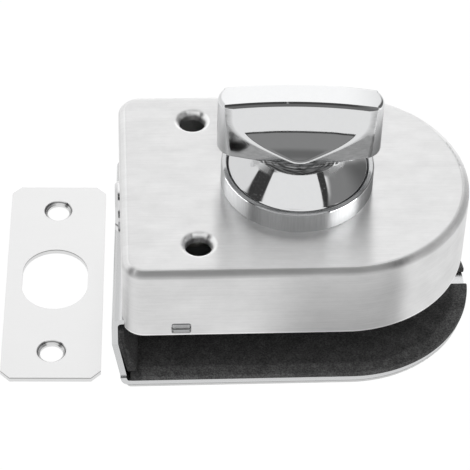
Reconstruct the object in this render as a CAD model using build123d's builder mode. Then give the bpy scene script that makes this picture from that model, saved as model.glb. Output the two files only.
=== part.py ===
from build123d import *
from math import atan2, cos, pi, radians, sin, tan
import os

os.makedirs("parts", exist_ok=True)

# Glass door floor lock, laid on its back: the knob points up (+Z), the bolt leaves to the
# left (-X), the glass enters from the right. The origin lies on the table under the knob.
# All sizes are in millimetres.

# Driving dimensions of the cover
sheet = 1.2
cover_left = -43.6
cover_centre = 10.8
cover_radius = 32.0
cover_corner = 5.5
cover_bottom = 18.85
cover_top = 39.85
cover_edge = 2.0
access_x = -25.0
access_y = 22.0
access_radius = 3.2
lip_radius = 4.6
lip_depth = 2.6
lip_round = 1.5
slot_x = -29.3
slot_width = 4.8
slot_height = 3.5
slot_z = 21.1

# Driving dimensions of the frame and the back
strip_near = -2.0
strip_far = 3.1
frame_sheet = 1.5
web_skew = 2.03
web_outer = -45.1
web_kink_z = 12.3
web_foot = -42.6
web_half = 28.6
foot_half = 31.6
stud_y = (strip_near + strip_far) / 2
stud_places = [(-28.0, stud_y), (0.0, stud_y), (28.0, stud_y)]
stud_radius = 1.45
stud_head_radius = 2.1
back_sheet = 1.0
back_centre = 12.9
back_radius = 32.0
leg_top = 20.8
leg_bore = 5.2
pad_centre = 13.2
pad_radius = 32.25
pad_thickness = 1.5
pad_left = -40.6

# Driving dimensions of the clamp
plate_top = 19.2
plate_thickness = 1.5
press_pad_thickness = 1.4
press_inset = 3.2
screw_radius = 2.9
screw_length = 12.0
spigot_radius = 1.9
boss_height = 6.0
boss_half = 4.4
rivet_radius = 3.58
running = 0.05

# Driving dimensions of the bolt work
bolt_radius = 6.4
bolt_z = 31.4
bolt_nose = -44.8
bolt_tail = -14.1
gear_module = 1.25
gear_teeth = 16
rack_thickness = 2.9
rack_half = 14.2
throw = gear_module * gear_teeth / 2 * pi / 2
square = 7.0
journal_radius = 3.3
spigot_bush_radius = 4.8

# Driving dimensions of the knob
rose_radius = 18.75
rose_top = 45.6
knob_turned = -2.7
skirt_radius = 16.9
flare_radius = 13.4
flare_z = 47.9
neck_radius = 10.6
bar_bottom = 51.2
bar_top = 67.85
bar_half = 19.9
bar_shoulder = 17.5
shoulder_half = 4.1
waist_half = 8.4
crown_radius = 120.0
hub_radius = 7.9
hub_bottom = 36.7
bush_radius = 9.2
bush_flange = 11.5
bush_flange_thickness = 1.05
rose_floor = 1.15

# Driving dimensions of the strike plate
strike_x = -60.6
strike_y = 4.55
strike_turned = -1.7
strike_width = 25.0
strike_length = 68.2
strike_thickness = 1.5
strike_chamfer = 2.4
strike_pitch = 50.4
screw_hole_radius = 2.9
countersink_radius = 3.75
slot_hole_width = 16.9
slot_hole_length = 21.35

# Levels worked out from the driving dimensions
frame_bottom = back_sheet
frame_floor = frame_bottom + frame_sheet
leg_bottom = leg_top - frame_sheet
cover_inside = cover_top - sheet
rack_bottom = bolt_z - rack_thickness / 2
rack_top = bolt_z + rack_thickness / 2

# The thumb bar's scoops: a large arc on each side, swept along the bar's crowned top
bar_edge = 0.62
scoop_radius = 21.9
scoop_y = 25.95
scoop_z = 65.65
crown_centre = bar_top - crown_radius

# Planes that several pieces share
skewed_section = Plane(
    origin=(0, 0, 0),
    x_dir=(cos(radians(web_skew)), -sin(radians(web_skew)), 0),
    z_dir=(-sin(radians(web_skew)), -cos(radians(web_skew)), 0),
)
bar_direction = (cos(radians(knob_turned)), sin(radians(knob_turned)), 0)
bar_plan = Plane(origin=(0, 0, 0), x_dir=bar_direction, z_dir=(0, 0, 1))
bar_across = (-bar_direction[1], bar_direction[0], 0)
bar_front = Plane(
    origin=(0, 0, 0), x_dir=bar_direction, z_dir=(bar_direction[1], -bar_direction[0], 0)
)


def d_outline(left, centre, radius, corner=0.0):
    """Plan outline with a straight left side and a half-round right end."""
    with BuildSketch() as plan:
        with BuildLine():
            Line((centre, -radius), (left, -radius))
            Line((left, -radius), (left, radius))
            Line((left, radius), (centre, radius))
            ThreePointArc((centre, radius), (centre + radius, 0), (centre, -radius))
        make_face()
        if corner > 0:
            fillet(plan.vertices().group_by(Axis.X)[0], corner)
    return plan.sketch


def clip_planes():
    """Section planes of the three snap places: two long walls and the round end."""
    return [
        Plane(origin=(slot_x, 0, 0), x_dir=(0, -1, 0), z_dir=(-1, 0, 0)),
        Plane(origin=(slot_x, 0, 0), x_dir=(0, 1, 0), z_dir=(1, 0, 0)),
        Plane(origin=(cover_centre, 0, 0), x_dir=(1, 0, 0), z_dir=(0, -1, 0)),
    ]


def involute(base, radius):
    """Point of an involute at a radius, as the turn about the gear's centre."""
    roll = (radius * radius / (base * base) - 1) ** 0.5
    return roll - atan2(roll, 1)


# Front cover: a drawn shell with two dimpled access holes and three snap slots
with BuildPart() as cover_cavity:
    with BuildSketch(Plane.XY.offset(cover_bottom)):
        add(d_outline(cover_left + sheet, cover_centre, cover_radius - sheet, cover_corner - sheet))
    extrude(amount=cover_inside - cover_bottom)
    fillet(cover_cavity.faces().sort_by(Axis.Z)[-1].edges(), cover_edge - sheet)

with BuildPart() as front_cover:
    with BuildSketch(Plane.XY.offset(cover_bottom)):
        add(d_outline(cover_left, cover_centre, cover_radius, cover_corner))
    extrude(amount=cover_top - cover_bottom)
    fillet(front_cover.faces().sort_by(Axis.Z)[-1].edges(), cover_edge)
    add(cover_cavity.part, mode=Mode.SUBTRACT)
    with BuildSketch(Plane.XY.offset(cover_top - lip_depth)):
        with Locations((access_x, access_y), (access_x, -access_y)):
            Circle(lip_radius)
    extrude(amount=lip_depth - sheet / 2)
    with BuildSketch(Plane.XY.offset(cover_top)):
        with Locations((access_x, access_y), (access_x, -access_y)):
            Circle(access_radius)
    extrude(amount=-2 * lip_depth, mode=Mode.SUBTRACT)
    rims = front_cover.edges().filter_by(GeomType.CIRCLE).filter_by(
        lambda edge: abs(edge.radius - access_radius) < 0.01 and edge.center().Z > cover_top - 0.01
    )
    fillet(rims, lip_round)
    with BuildSketch(Plane.XY.offset(cover_top)):
        Circle(bush_radius)
    extrude(amount=-2 * sheet, mode=Mode.SUBTRACT)
    with BuildSketch(Plane.YZ.offset(cover_left)):
        with Locations((0, bolt_z)):
            Circle(bolt_radius + 0.3)
    extrude(amount=2 * sheet, mode=Mode.SUBTRACT)
    for wall in clip_planes():
        with BuildSketch(Plane(wall.origin + wall.x_dir * cover_radius, x_dir=wall.z_dir, z_dir=wall.x_dir)):
            with Locations((0, -slot_z)):
                RectangleRounded(slot_width, slot_height, 0.8)
        extrude(amount=-2 * sheet, mode=Mode.SUBTRACT)
    with BuildSketch(Plane.XY.offset(cover_bottom)):
        with Locations((cover_left + 2.8, 0)):
            Rectangle(5.8, 2 * web_half + 0.4)
    extrude(amount=leg_top + 0.1 - cover_bottom, mode=Mode.SUBTRACT)


# U-shaped frame: back plate, leaning web and inner leg, bent from one sheet
web_line = [
    (web_outer + frame_sheet / 2, leg_top - frame_sheet / 2),
    (web_outer + frame_sheet / 2, web_kink_z),
    (web_foot + frame_sheet / 2, frame_bottom + frame_sheet / 2),
]
with BuildPart() as frame_room:
    with BuildSketch(Plane.XY):
        add(d_outline(-60, back_centre, back_radius))
    extrude(amount=frame_floor + 1.0)
    with BuildSketch(Plane.XY.offset(leg_bottom - 0.5)):
        add(d_outline(cover_left + 5.6, cover_centre, cover_radius - sheet - 0.25))
    extrude(amount=frame_sheet + 1.0)
    with BuildSketch(Plane.YZ.offset(-60)):
        Polygon(
            (-foot_half, frame_floor), (-web_half, web_kink_z), (-web_half, leg_top + 1),
            (web_half, leg_top + 1), (web_half, web_kink_z), (foot_half, frame_floor), align=None,
        )
    extrude(amount=22.1)

with BuildPart() as u_frame:
    with BuildSketch(skewed_section):
        with BuildLine():
            FilletPolyline((36.5, web_line[0][1]), *web_line, (48.0, web_line[2][1]), radius=[1.7, 1.8, 1.3])
        trace(line_width=frame_sheet)
    extrude(amount=40, both=True)
    add(frame_room.part, mode=Mode.INTERSECT)
    with BuildSketch(Plane.XY.offset(leg_top)):
        Circle(leg_bore)
        with Locations((access_x, access_y), (access_x, -access_y)):
            Circle(rivet_radius + 0.02)
    extrude(amount=-2 * frame_sheet, mode=Mode.SUBTRACT)
    with BuildSketch(Plane.XY.offset(frame_floor)):
        with Locations(*stud_places):
            Circle(stud_radius + running)
    extrude(amount=-2 * frame_sheet, mode=Mode.SUBTRACT)


# Back cover: thin outer plate with a rounded lower edge
with BuildPart() as back_cover:
    with BuildSketch(Plane.XY):
        add(d_outline(-42.6, back_centre, back_radius, 1.0))
    extrude(amount=back_sheet)
    fillet(back_cover.faces().sort_by(Axis.Z)[0].edges(), 0.6)


# Weld studs of the back cover, peened over on the bare strip of the back plate
with BuildPart() as back_studs:
    with BuildSketch(Plane.XY.offset(back_sheet)):
        with Locations(*stud_places):
            Circle(stud_radius)
    extrude(amount=frame_sheet)
    with BuildSketch(Plane.XY.offset(frame_floor)):
        with Locations(*stud_places):
            Circle(stud_head_radius)
    extrude(amount=0.5, taper=35)


# Rubber pads on the back plate, one each side of the bare strip
def back_pad(low_y, high_y):
    """One pad: the part of the D outline between two lines along X."""
    with BuildPart() as pad:
        with BuildSketch(Plane.XY.offset(frame_floor)):
            add(d_outline(-50, pad_centre, pad_radius))
            with Locations((0, (low_y + high_y) / 2)):
                Rectangle(120, high_y - low_y, mode=Mode.INTERSECT)
        extrude(amount=pad_thickness)
        pad_side = skewed_section.x_dir
        left_side = Plane(skewed_section.origin + pad_side * pad_left, z_dir=pad_side)
        split(bisect_by=left_side, keep=Keep.TOP)
    return pad


back_pad_near = back_pad(-pad_radius - 1, strip_near)
back_pad_far = back_pad(strip_far, pad_radius + 1)


# Web pad: rubber on the inner side of the leaning web
pad_shift = frame_sheet / 2 + pad_thickness / 2 + 0.06
lean = atan2(web_foot - web_outer, web_kink_z - web_line[2][1])
web_pad_foot_z = frame_floor + pad_thickness + 0.15
web_pad_line = [
    (web_line[0][0] + pad_shift, plate_top - plate_thickness - 0.6),
    (web_line[0][0] + pad_shift, web_kink_z + pad_shift * tan(lean / 2)),
    (
        web_line[1][0] + (web_kink_z - web_pad_foot_z) * tan(lean) + pad_shift / cos(lean),
        web_pad_foot_z,
    ),
]
with BuildPart() as web_pad_room:
    with BuildSketch(Plane.YZ.offset(-60)):
        Polygon(
            (0.6 - foot_half, frame_floor), (-web_half, web_kink_z), (-web_half, leg_top),
            (web_half, leg_top), (web_half, web_kink_z), (foot_half - 0.6, frame_floor), align=None,
        )
    extrude(amount=40)
with BuildPart() as web_pad:
    with BuildSketch(skewed_section):
        with BuildLine():
            Polyline(*web_pad_line)
        trace(line_width=pad_thickness)
    extrude(amount=40, both=True)
    add(web_pad_room.part, mode=Mode.INTERSECT)


# Pressure plate with its rubber pad, pushed on the glass by the two clamp screws
press_bottom = plate_top - plate_thickness
with BuildPart() as pressure_plate:
    with BuildSketch(Plane.XY.offset(press_bottom)):
        add(d_outline(cover_left + press_inset, cover_centre, cover_radius - press_inset, 4))
    extrude(amount=plate_thickness)
    with BuildSketch(Plane.XY.offset(plate_top)):
        with Locations((access_x, access_y), (access_x, -access_y)):
            Circle(spigot_radius + running)
    extrude(amount=-plate_thickness, mode=Mode.SUBTRACT)

with BuildPart() as pressure_pad:
    with BuildSketch(Plane.XY.offset(press_bottom - press_pad_thickness)):
        add(d_outline(cover_left + press_inset, cover_centre, cover_radius - press_inset + 0.6, 4))
    extrude(amount=press_pad_thickness)


# Clamp screws: socket set screws whose spigots turn in the pressure plate
def clamp_screw(y):
    """One set screw, upright over its hole in the pressure plate."""
    with BuildPart() as screw:
        with BuildSketch(Plane.XY.offset(press_bottom + 0.1)):
            with Locations((access_x, y)):
                Circle(spigot_radius)
        extrude(amount=plate_thickness)
        with BuildSketch(Plane.XY.offset(plate_top + running)):
            with Locations((access_x, y)):
                Circle(screw_radius)
        extrude(amount=screw_length)
        top = screw.faces().sort_by(Axis.Z)[-1]
        chamfer(top.edges(), 0.5)
        with BuildSketch(Plane.XY.offset(plate_top + running + screw_length)):
            with Locations((access_x, y)):
                RegularPolygon(1.5, 6, major_radius=False)
        extrude(amount=-4.0, mode=Mode.SUBTRACT)
    return screw


clamp_screw_near = clamp_screw(-access_y)
clamp_screw_far = clamp_screw(access_y)

with BuildPart() as clamp_bosses:
    with BuildSketch(Plane.XY.offset(leg_top)):
        with Locations((access_x, access_y), (access_x, -access_y)):
            RegularPolygon(boss_half, 6, major_radius=False)
    extrude(amount=boss_height)
    with BuildSketch(Plane.XY.offset(leg_bottom + 0.1)):
        with Locations((access_x, access_y), (access_x, -access_y)):
            Circle(rivet_radius)
    extrude(amount=frame_sheet)
    boss_top = leg_top + boss_height
    with Locations((access_x, access_y, boss_top), (access_x, -access_y, boss_top)):
        Hole(screw_radius + running, depth=8.0)


# Lock case: guides the bolt in front and holds rack, pinion and spindle bush behind
case_left = cover_left + 1.4
case_right = 36.0
case_half = 16.3
case_top = rack_top + 0.3
case_floor = 23.0
guide_width = 21.0
well_length = 57.0
well_width = 23.6
detent_seat = 5.3
lid_bore = 5.3
guide_right = -30.3
pocket_left = bolt_tail - throw - 0.2
pocket_right = 30.7
ears = [(-8.0, 17.4), (24.0, 17.4), (-8.0, -17.4), (24.0, -17.4)]
case_screw_places = [(-36.5, 11.5), (-36.5, -11.5), (33.3, 9.5), (33.3, -9.5)]
detent_x = 7.0
detent_y = -9.4

with BuildPart() as lock_case:
    with BuildSketch(Plane.XY.offset(leg_top)) as case_plan:
        with Locations(((case_left + case_right) / 2, 0)):
            Rectangle(case_right - case_left, 2 * case_half)
        fillet(case_plan.vertices().group_by(Axis.X)[-1], 5)
        fillet(case_plan.vertices().group_by(Axis.X)[0], 2)
        with Locations(*ears):
            Circle(2.8)
    extrude(amount=case_top - leg_top)
    with BuildSketch(Plane.XY.offset(leg_top)):
        with Locations(((case_left + guide_right) / 2, 0)):
            Rectangle(guide_right - case_left, guide_width)
    extrude(amount=cover_inside - 0.15 - leg_top)
    front_uprights = lock_case.edges().filter_by(Axis.Y).group_by(Axis.Z)[-1]
    chamfer(front_uprights, 0.5)
    with BuildSketch(Plane.XY.offset(case_top)):
        with Locations(((pocket_left + pocket_right) / 2, 0)):
            Rectangle(pocket_right - pocket_left, 2 * rack_half + 0.6)
    extrude(amount=rack_bottom - 0.1 - case_top, mode=Mode.SUBTRACT)
    with BuildSketch(Plane.XY.offset(case_floor)) as lower_pocket:
        with Locations((0.5, 0)):
            Rectangle(well_length, well_width)
        fillet(lower_pocket.vertices(), 3)
    extrude(amount=case_top - case_floor, mode=Mode.SUBTRACT)
    with BuildSketch(Plane.XY.offset(case_floor)):
        with Locations((detent_x, detent_y)):
            Circle(2.3)
    extrude(amount=detent_seat)
    with BuildSketch(Plane.YZ.offset(case_left)):
        with Locations((0, bolt_z)):
            Circle(bolt_radius + running)
    extrude(amount=pocket_left - case_left + 1.0, mode=Mode.SUBTRACT)
    with BuildSketch(Plane.YZ.offset(guide_right)):
        with Locations((0, bolt_z)):
            Circle(bolt_radius + 0.4)
    extrude(amount=bolt_tail + 0.5 - guide_right, mode=Mode.SUBTRACT)
    with Locations((0, 0, case_floor)):
        Hole(spigot_bush_radius + running, depth=5)
    with Locations((detent_x, detent_y, case_floor + detent_seat)):
        Hole(1.02, depth=4)
    with Locations(*[(x, y, case_top) for x, y in ears]):
        Hole(1.25, depth=7)
    with Locations(*[(x, y, leg_top + 7) for x, y in case_screw_places]):
        Hole(1.45, depth=7)

with BuildPart(mode=Mode.PRIVATE) as leg_holes:
    with Locations(*[(x, y, leg_bottom) for x, y in case_screw_places]):
        Cylinder(1.6, 4 * frame_sheet)
        with Locations((0, 0, frame_sheet / 2)):
            Cone(2.9, 1.6, frame_sheet)
with BuildPart() as drilled_frame:
    add(u_frame.part)
    add(leg_holes.part, mode=Mode.SUBTRACT)


# Lid of the case with its four screws, and the case screws that come from under the leg
lid_thickness = 1.5
with BuildPart() as case_lid:
    with BuildSketch(Plane.XY.offset(case_top)) as lid_plan:
        with Locations(((guide_right + 0.3 + case_right) / 2, 0)):
            Rectangle(case_right - guide_right - 0.3, 2 * case_half)
        fillet(lid_plan.vertices().group_by(Axis.X)[-1], 5)
        with Locations(*ears):
            Circle(2.8)
        with Locations(((guide_right + bolt_tail) / 2, 0)):
            Rectangle(bolt_tail + 1.2 - guide_right, 2 * bolt_radius + 0.8, mode=Mode.SUBTRACT)
    extrude(amount=lid_thickness)
    with Locations((0, 0, case_top + lid_thickness)):
        Hole(lid_bore, depth=3)
    with Locations(*[(x, y, case_top + lid_thickness) for x, y in ears]):
        Hole(1.35, depth=3)

with BuildPart() as lid_screws:
    with BuildSketch(Plane.XY.offset(case_top + lid_thickness)):
        with Locations(*ears):
            Circle(1.22)
    extrude(amount=-7)
    with BuildSketch(Plane.XY.offset(case_top + lid_thickness)):
        with Locations(*ears):
            Circle(2.3)
    extrude(amount=1.4)
    fillet(lid_screws.faces().group_by(Axis.Z)[-1].edges(), 0.6)
    with BuildSketch(Plane.XY.offset(case_top + lid_thickness + 1.4)):
        with Locations(*ears):
            Rectangle(2.4, 0.5)
            Rectangle(0.5, 2.4)
    extrude(amount=-0.8, mode=Mode.SUBTRACT)

with BuildPart() as case_screws:
    for x, y in case_screw_places:
        with BuildSketch(Plane.XZ.offset(-y)):
            with Locations((x, 0)):
                Polygon(
                    (0, leg_bottom), (2.75, leg_bottom), (1.4, leg_bottom + 1.35),
                    (1.4, leg_top + 6), (0, leg_top + 6.4), align=None,
                )
        revolve(axis=Axis((x, y, 0), (0, 0, 1)))


# Bolt: a polished round bar with a slotted tail for the rack frame
with BuildPart() as bolt:
    with BuildSketch(Plane.YZ.offset(bolt_nose)):
        with Locations((0, bolt_z)):
            Circle(bolt_radius)
    extrude(amount=bolt_tail - bolt_nose)
    chamfer(bolt.faces().sort_by(Axis.X)[0].edges(), 0.7)
    with BuildSketch(Plane.XZ) as tail_slot:
        with Locations((bolt_tail - 4, bolt_z)):
            Rectangle(8.1, rack_thickness + 0.04)
    extrude(amount=20, both=True, mode=Mode.SUBTRACT)
    with Locations((bolt_tail - 4.1, 0, bolt_z + bolt_radius)):
        Hole(1.52, depth=20)

with BuildPart() as bolt_pin:
    with BuildSketch(Plane.XY.offset(bolt_z - 5)):
        with Locations((bolt_tail - 4.1, 0)):
            Circle(1.5)
    extrude(amount=10)
    chamfer(bolt_pin.edges().filter_by(GeomType.CIRCLE), 0.3)


# Rack frame: a flat window frame with rack teeth along its near inner side
pitch_radius = gear_module * gear_teeth / 2
tooth_pitch = pi * gear_module
addendum = 1.1
dedendum = 1.5
backlash = 0.2
flank = tan(radians(20))
window_left = -11.7
window_right = 27.5
tooth_count = 9

with BuildPart() as rack_frame:
    with BuildSketch(Plane.XY.offset(rack_bottom)) as frame_plan:
        with Locations(((bolt_tail + 0.1 + 30.4) / 2, 0)):
            Rectangle(30.4 - bolt_tail - 0.1, 2 * rack_half)
        fillet(frame_plan.vertices(), 1.5)
        with Locations((bolt_tail - 3, 0)):
            Rectangle(9.8, 10)
        with BuildLine():
            Polyline(
                (window_left, -pitch_radius - dedendum), (window_right, -pitch_radius - dedendum),
                (window_right, 11.6), (window_left, 11.6), close=True,
            )
        make_face(mode=Mode.SUBTRACT)
        half_root = tooth_pitch / 4 - backlash / 4 + dedendum * flank
        half_tip = tooth_pitch / 4 - backlash / 4 - addendum * flank
        with Locations(*[
            ((number - 1.5) * tooth_pitch, -pitch_radius) for number in range(tooth_count)
        ]):
            Polygon(
                (-half_root, -dedendum), (half_root, -dedendum), (half_tip, addendum),
                (-half_tip, addendum), align=None,
            )
        with Locations((bolt_tail - 4.1, 0)):
            Circle(1.52, mode=Mode.SUBTRACT)
    extrude(amount=rack_thickness)


# Pinion: involute teeth, square bore, and four grooves underneath for the detent
base_radius = pitch_radius * cos(radians(20))
tip_radius = pitch_radius + addendum
root_radius = pitch_radius - dedendum
half_angle = pi / (2 * gear_teeth) - backlash / (4 * pitch_radius) + involute(base_radius, pitch_radius)


def flank_point(radius, side):
    """Point of a tooth's flank on a tooth that points along +X."""
    turn = half_angle - involute(base_radius, radius)
    return (radius * cos(turn), side * radius * sin(turn))


with BuildSketch() as tooth:
    mid_radius = (base_radius + tip_radius) / 2
    foot = (8.0, 8.0 * sin(half_angle))
    with BuildLine():
        ThreePointArc(*[flank_point(radius, 1) for radius in (base_radius, mid_radius, tip_radius)])
        Line(flank_point(tip_radius, 1), flank_point(tip_radius, -1))
        ThreePointArc(*[flank_point(radius, -1) for radius in (tip_radius, mid_radius, base_radius)])
        Polyline(flank_point(base_radius, -1), (foot[0], -foot[1]), foot, flank_point(base_radius, 1))
    make_face()

with BuildPart() as pinion:
    with BuildSketch(Plane.XY.offset(rack_bottom)):
        Circle(root_radius)
        with PolarLocations(0, gear_teeth):
            add(tooth.sketch)
    extrude(amount=rack_thickness)
    with BuildSketch(Plane.XY.offset(rack_bottom - 2)):
        Circle(4.9)
    extrude(amount=2)
    for turn in (0, 90, 180, 270):
        groove_line = Plane(origin=(0, 0, 0), x_dir=(-sin(radians(turn)), cos(radians(turn)), 0),
                            z_dir=(cos(radians(turn)), sin(radians(turn)), 0))
        with BuildSketch(groove_line.offset(5.2)):
            with Locations((0, rack_bottom - 0.8)):
                Circle(1.5)
        extrude(amount=6, mode=Mode.SUBTRACT)
    with BuildSketch(bar_plan.offset(rack_top)):
        Rectangle(square + 0.04, square + 0.04)
    extrude(amount=-10, mode=Mode.SUBTRACT)


# Spindle: square above, journal below, with a groove for its clip
spindle_top = 53.5
grub_z = 48.4
grub_radius = 1.6
journal_top = rack_bottom - 2
with BuildPart() as spindle:
    with BuildSketch(bar_plan.offset(journal_top)):
        Rectangle(square, square)
    extrude(amount=spindle_top - journal_top)
    chamfer(spindle.faces().sort_by(Axis.Z)[-1].edges(), 0.5)
    with BuildSketch(Plane.XY.offset(leg_top + 0.3)):
        Circle(journal_radius)
    extrude(amount=journal_top - leg_top - 0.3)
    with BuildSketch(Plane.XY.offset(journal_top - 0.8)):
        Circle(4)
        Circle(2.6, mode=Mode.SUBTRACT)
    extrude(amount=0.8, mode=Mode.SUBTRACT)

with BuildPart() as spindle_clip:
    with BuildSketch(Plane.XY.offset(journal_top - 0.75)):
        Circle(5.2)
        Circle(2.65, mode=Mode.SUBTRACT)
        with Locations((0, 4)):
            Rectangle(4.2, 6, mode=Mode.SUBTRACT)
    extrude(amount=0.7)

with BuildPart() as spindle_bush:
    with BuildSketch(Plane.XY.offset(leg_top + 0.1)):
        Circle(spigot_bush_radius)
    extrude(amount=case_floor - leg_top)
    with BuildSketch(Plane.XY.offset(case_floor)):
        Circle(6.2)
    extrude(amount=1.0)
    with Locations((0, 0, case_floor + 1)):
        Hole(journal_radius + running, depth=10)


# Detent leaf: a strip whose formed ridge clicks into the pinion's grooves
with BuildPart() as detent_leaf:
    with BuildSketch(Plane.YZ.offset(detent_x - 1.5)):
        with BuildLine():
            strip = FilletPolyline(
                (detent_y - 2.2, case_floor + 5.5), (-5.5, case_floor + 5.5), (-1.5, 29.0),
                (0, 30.4), (1.5, 29.0), (3.2, 28.8), radius=[1.5, 0.5, 0.5, 0.5],
            )
        trace(line_width=0.4)
    extrude(amount=3)
    with Locations((detent_x, detent_y, case_floor + 6)):
        Hole(1.02, depth=2)

with BuildPart() as detent_rivet:
    with BuildSketch(Plane.XY.offset(case_floor + 5.7)):
        with Locations((detent_x, detent_y)):
            Circle(1.0)
    extrude(amount=-4)
    with BuildSketch(Plane.XY.offset(case_floor + 5.7)):
        with Locations((detent_x, detent_y)):
            Circle(1.9)
    extrude(amount=0.8, taper=20)


# Cover clips: spring strips on the leg whose noses show in the snap slots
with BuildPart() as cover_clips:
    for section in clip_planes():
        with BuildSketch(section):
            with BuildLine():
                FilletPolyline(
                    (27.6, leg_top + 0.31), (cover_radius - 0.35, leg_top + 0.31),
                    (cover_radius - 1.8, 23.0), (cover_radius - 1.8, 27.0), radius=[0.8, 0.8],
                )
            trace(line_width=0.6)
        extrude(amount=2.1, both=True)


# Knob rose: a turned cup on the cover that surrounds the knob's skirt
with BuildPart() as knob_rose:
    with BuildSketch(Plane.XZ):
        Polygon(
            (bush_radius, cover_top), (rose_radius, cover_top), (rose_radius, rose_top - 0.65),
            (rose_radius - 0.65, rose_top), (skirt_radius + 0.3, rose_top),
            (skirt_radius + 0.3, cover_top + rose_floor), (bush_radius, cover_top + rose_floor),
            align=None,
        )
    revolve(axis=Axis.Z)

with BuildPart() as hub_bush:
    with BuildSketch(Plane.XZ):
        Polygon(
            (hub_radius + running, hub_bottom), (bush_radius, hub_bottom),
            (bush_radius, cover_inside - bush_flange_thickness),
            (bush_flange, cover_inside - bush_flange_thickness), (bush_flange, cover_inside),
            (bush_radius, cover_inside), (bush_radius, cover_top + rose_floor),
            (hub_radius + running, cover_top + rose_floor), align=None,
        )
    revolve(axis=Axis.Z)

with BuildPart() as spring_washer:
    with BuildSketch(Plane.XZ):
        Polygon(
            (5.6, hub_bottom - 1.7), (5.9, hub_bottom - 1.95), (7.6, hub_bottom - 0.85),
            (7.3, hub_bottom - 0.5), align=None,
        )
    revolve(axis=Axis.Z)


# Knob: flared skirt and neck, turned, under a scooped thumb bar
bar_foot = bar_bottom - 1.5


def scoop_half(z):
    """Half the bar's thickness where the scoops leave it, at a height."""
    return scoop_y - (scoop_radius ** 2 - (z - scoop_z) ** 2) ** 0.5


crown_turn = 12.0
edge_half = scoop_half(bar_top - bar_edge)
first_section = Plane(
    origin=(0, 0, crown_centre),
    x_dir=bar_across,
    z_dir=(
        bar_direction[0] * cos(radians(crown_turn)),
        bar_direction[1] * cos(radians(crown_turn)),
        sin(radians(crown_turn)),
    ),
)
with BuildPart() as thumb_bar:
    with BuildSketch(first_section):
        with BuildLine():
            Line((0, crown_radius), (edge_half - bar_edge, crown_radius))
            JernArc((edge_half - bar_edge, crown_radius), (1, 0), bar_edge, -90)
            ThreePointArc(*[
                (scoop_half(z), z - crown_centre) for z in (bar_top - bar_edge, 59.0, bar_foot)
            ])
            Line((scoop_half(bar_foot), bar_foot - crown_centre), (0, bar_foot - crown_centre))
            mirror(about=Plane.YZ)
        make_face()
    revolve(axis=Axis((0, 0, crown_centre), bar_across), revolution_arc=2 * crown_turn)
    with BuildSketch(bar_plan.offset(bar_bottom)):
        with BuildLine():
            FilletPolyline(
                (-bar_shoulder, -shoulder_half), (0, -waist_half), (bar_shoulder, -shoulder_half),
                radius=10.5,
            )
            ThreePointArc((bar_shoulder, -shoulder_half), (bar_half, 0), (bar_shoulder, shoulder_half))
            mirror(about=Plane.XZ)
            ThreePointArc(
                (-bar_shoulder, shoulder_half), (-bar_half, 0), (-bar_shoulder, -shoulder_half)
            )
        make_face()
    extrude(amount=bar_top - bar_bottom, mode=Mode.INTERSECT)

# The casting under the bar: hub in the bush, skirt in the rose, flare up to the bar's foot
skirt_bottom = cover_top + 1.5
with BuildPart() as knob:
    with BuildSketch(Plane.XZ):
        with BuildLine():
            Polyline(
                (0, hub_bottom), (hub_radius, hub_bottom), (hub_radius, skirt_bottom),
                (skirt_radius, skirt_bottom), (skirt_radius, rose_top - 0.3),
            )
            ThreePointArc(
                (skirt_radius, rose_top - 0.3), (flare_radius, flare_z), (neck_radius, bar_bottom)
            )
            Polyline(
                (neck_radius, bar_bottom), (hub_radius, bar_bottom), (hub_radius, bar_bottom + 0.3),
                (0, bar_bottom + 0.3), (0, hub_bottom),
            )
        make_face()
    revolve(axis=Axis.Z)
    add(thumb_bar.part)
    with BuildSketch(bar_plan.offset(hub_bottom)):
        Rectangle(square + 0.02, square + 0.02)
    extrude(amount=spindle_top + 0.5 - hub_bottom, mode=Mode.SUBTRACT)
    with BuildSketch(bar_front.offset(-square / 2)):
        with Locations((0, grub_z)):
            Circle(grub_radius + 0.02)
    extrude(amount=-12, mode=Mode.SUBTRACT)

grub_length = 6.0
with BuildPart() as knob_grub_screw:
    with BuildSketch(bar_front.offset(-square / 2 - running)):
        with Locations((0, grub_z)):
            Circle(grub_radius)
    extrude(amount=-grub_length)
    with BuildSketch(bar_front.offset(-square / 2 - running - grub_length)):
        with Locations((0, grub_z)):
            RegularPolygon(0.8, 6, major_radius=False)
    extrude(amount=1.6, mode=Mode.SUBTRACT)


# Strike plate: screwed on the floor, with an obround hole for the bolt
strike_plane = Plane(
    origin=(strike_x, strike_y, 0),
    x_dir=(cos(radians(strike_turned)), sin(radians(strike_turned)), 0),
    z_dir=(0, 0, 1),
)
with BuildPart() as strike_plate:
    with BuildSketch(strike_plane) as strike_plan:
        Rectangle(strike_width, strike_length)
        chamfer(strike_plan.vertices(), strike_chamfer)
        SlotOverall(slot_hole_length, slot_hole_width, rotation=90, mode=Mode.SUBTRACT)
    extrude(amount=strike_thickness)
    with Locations(strike_plane.offset(strike_thickness)):
        with Locations((0, strike_pitch / 2), (0, -strike_pitch / 2)):
            CounterSinkHole(screw_hole_radius, countersink_radius, depth=4, counter_sink_angle=90)


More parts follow.
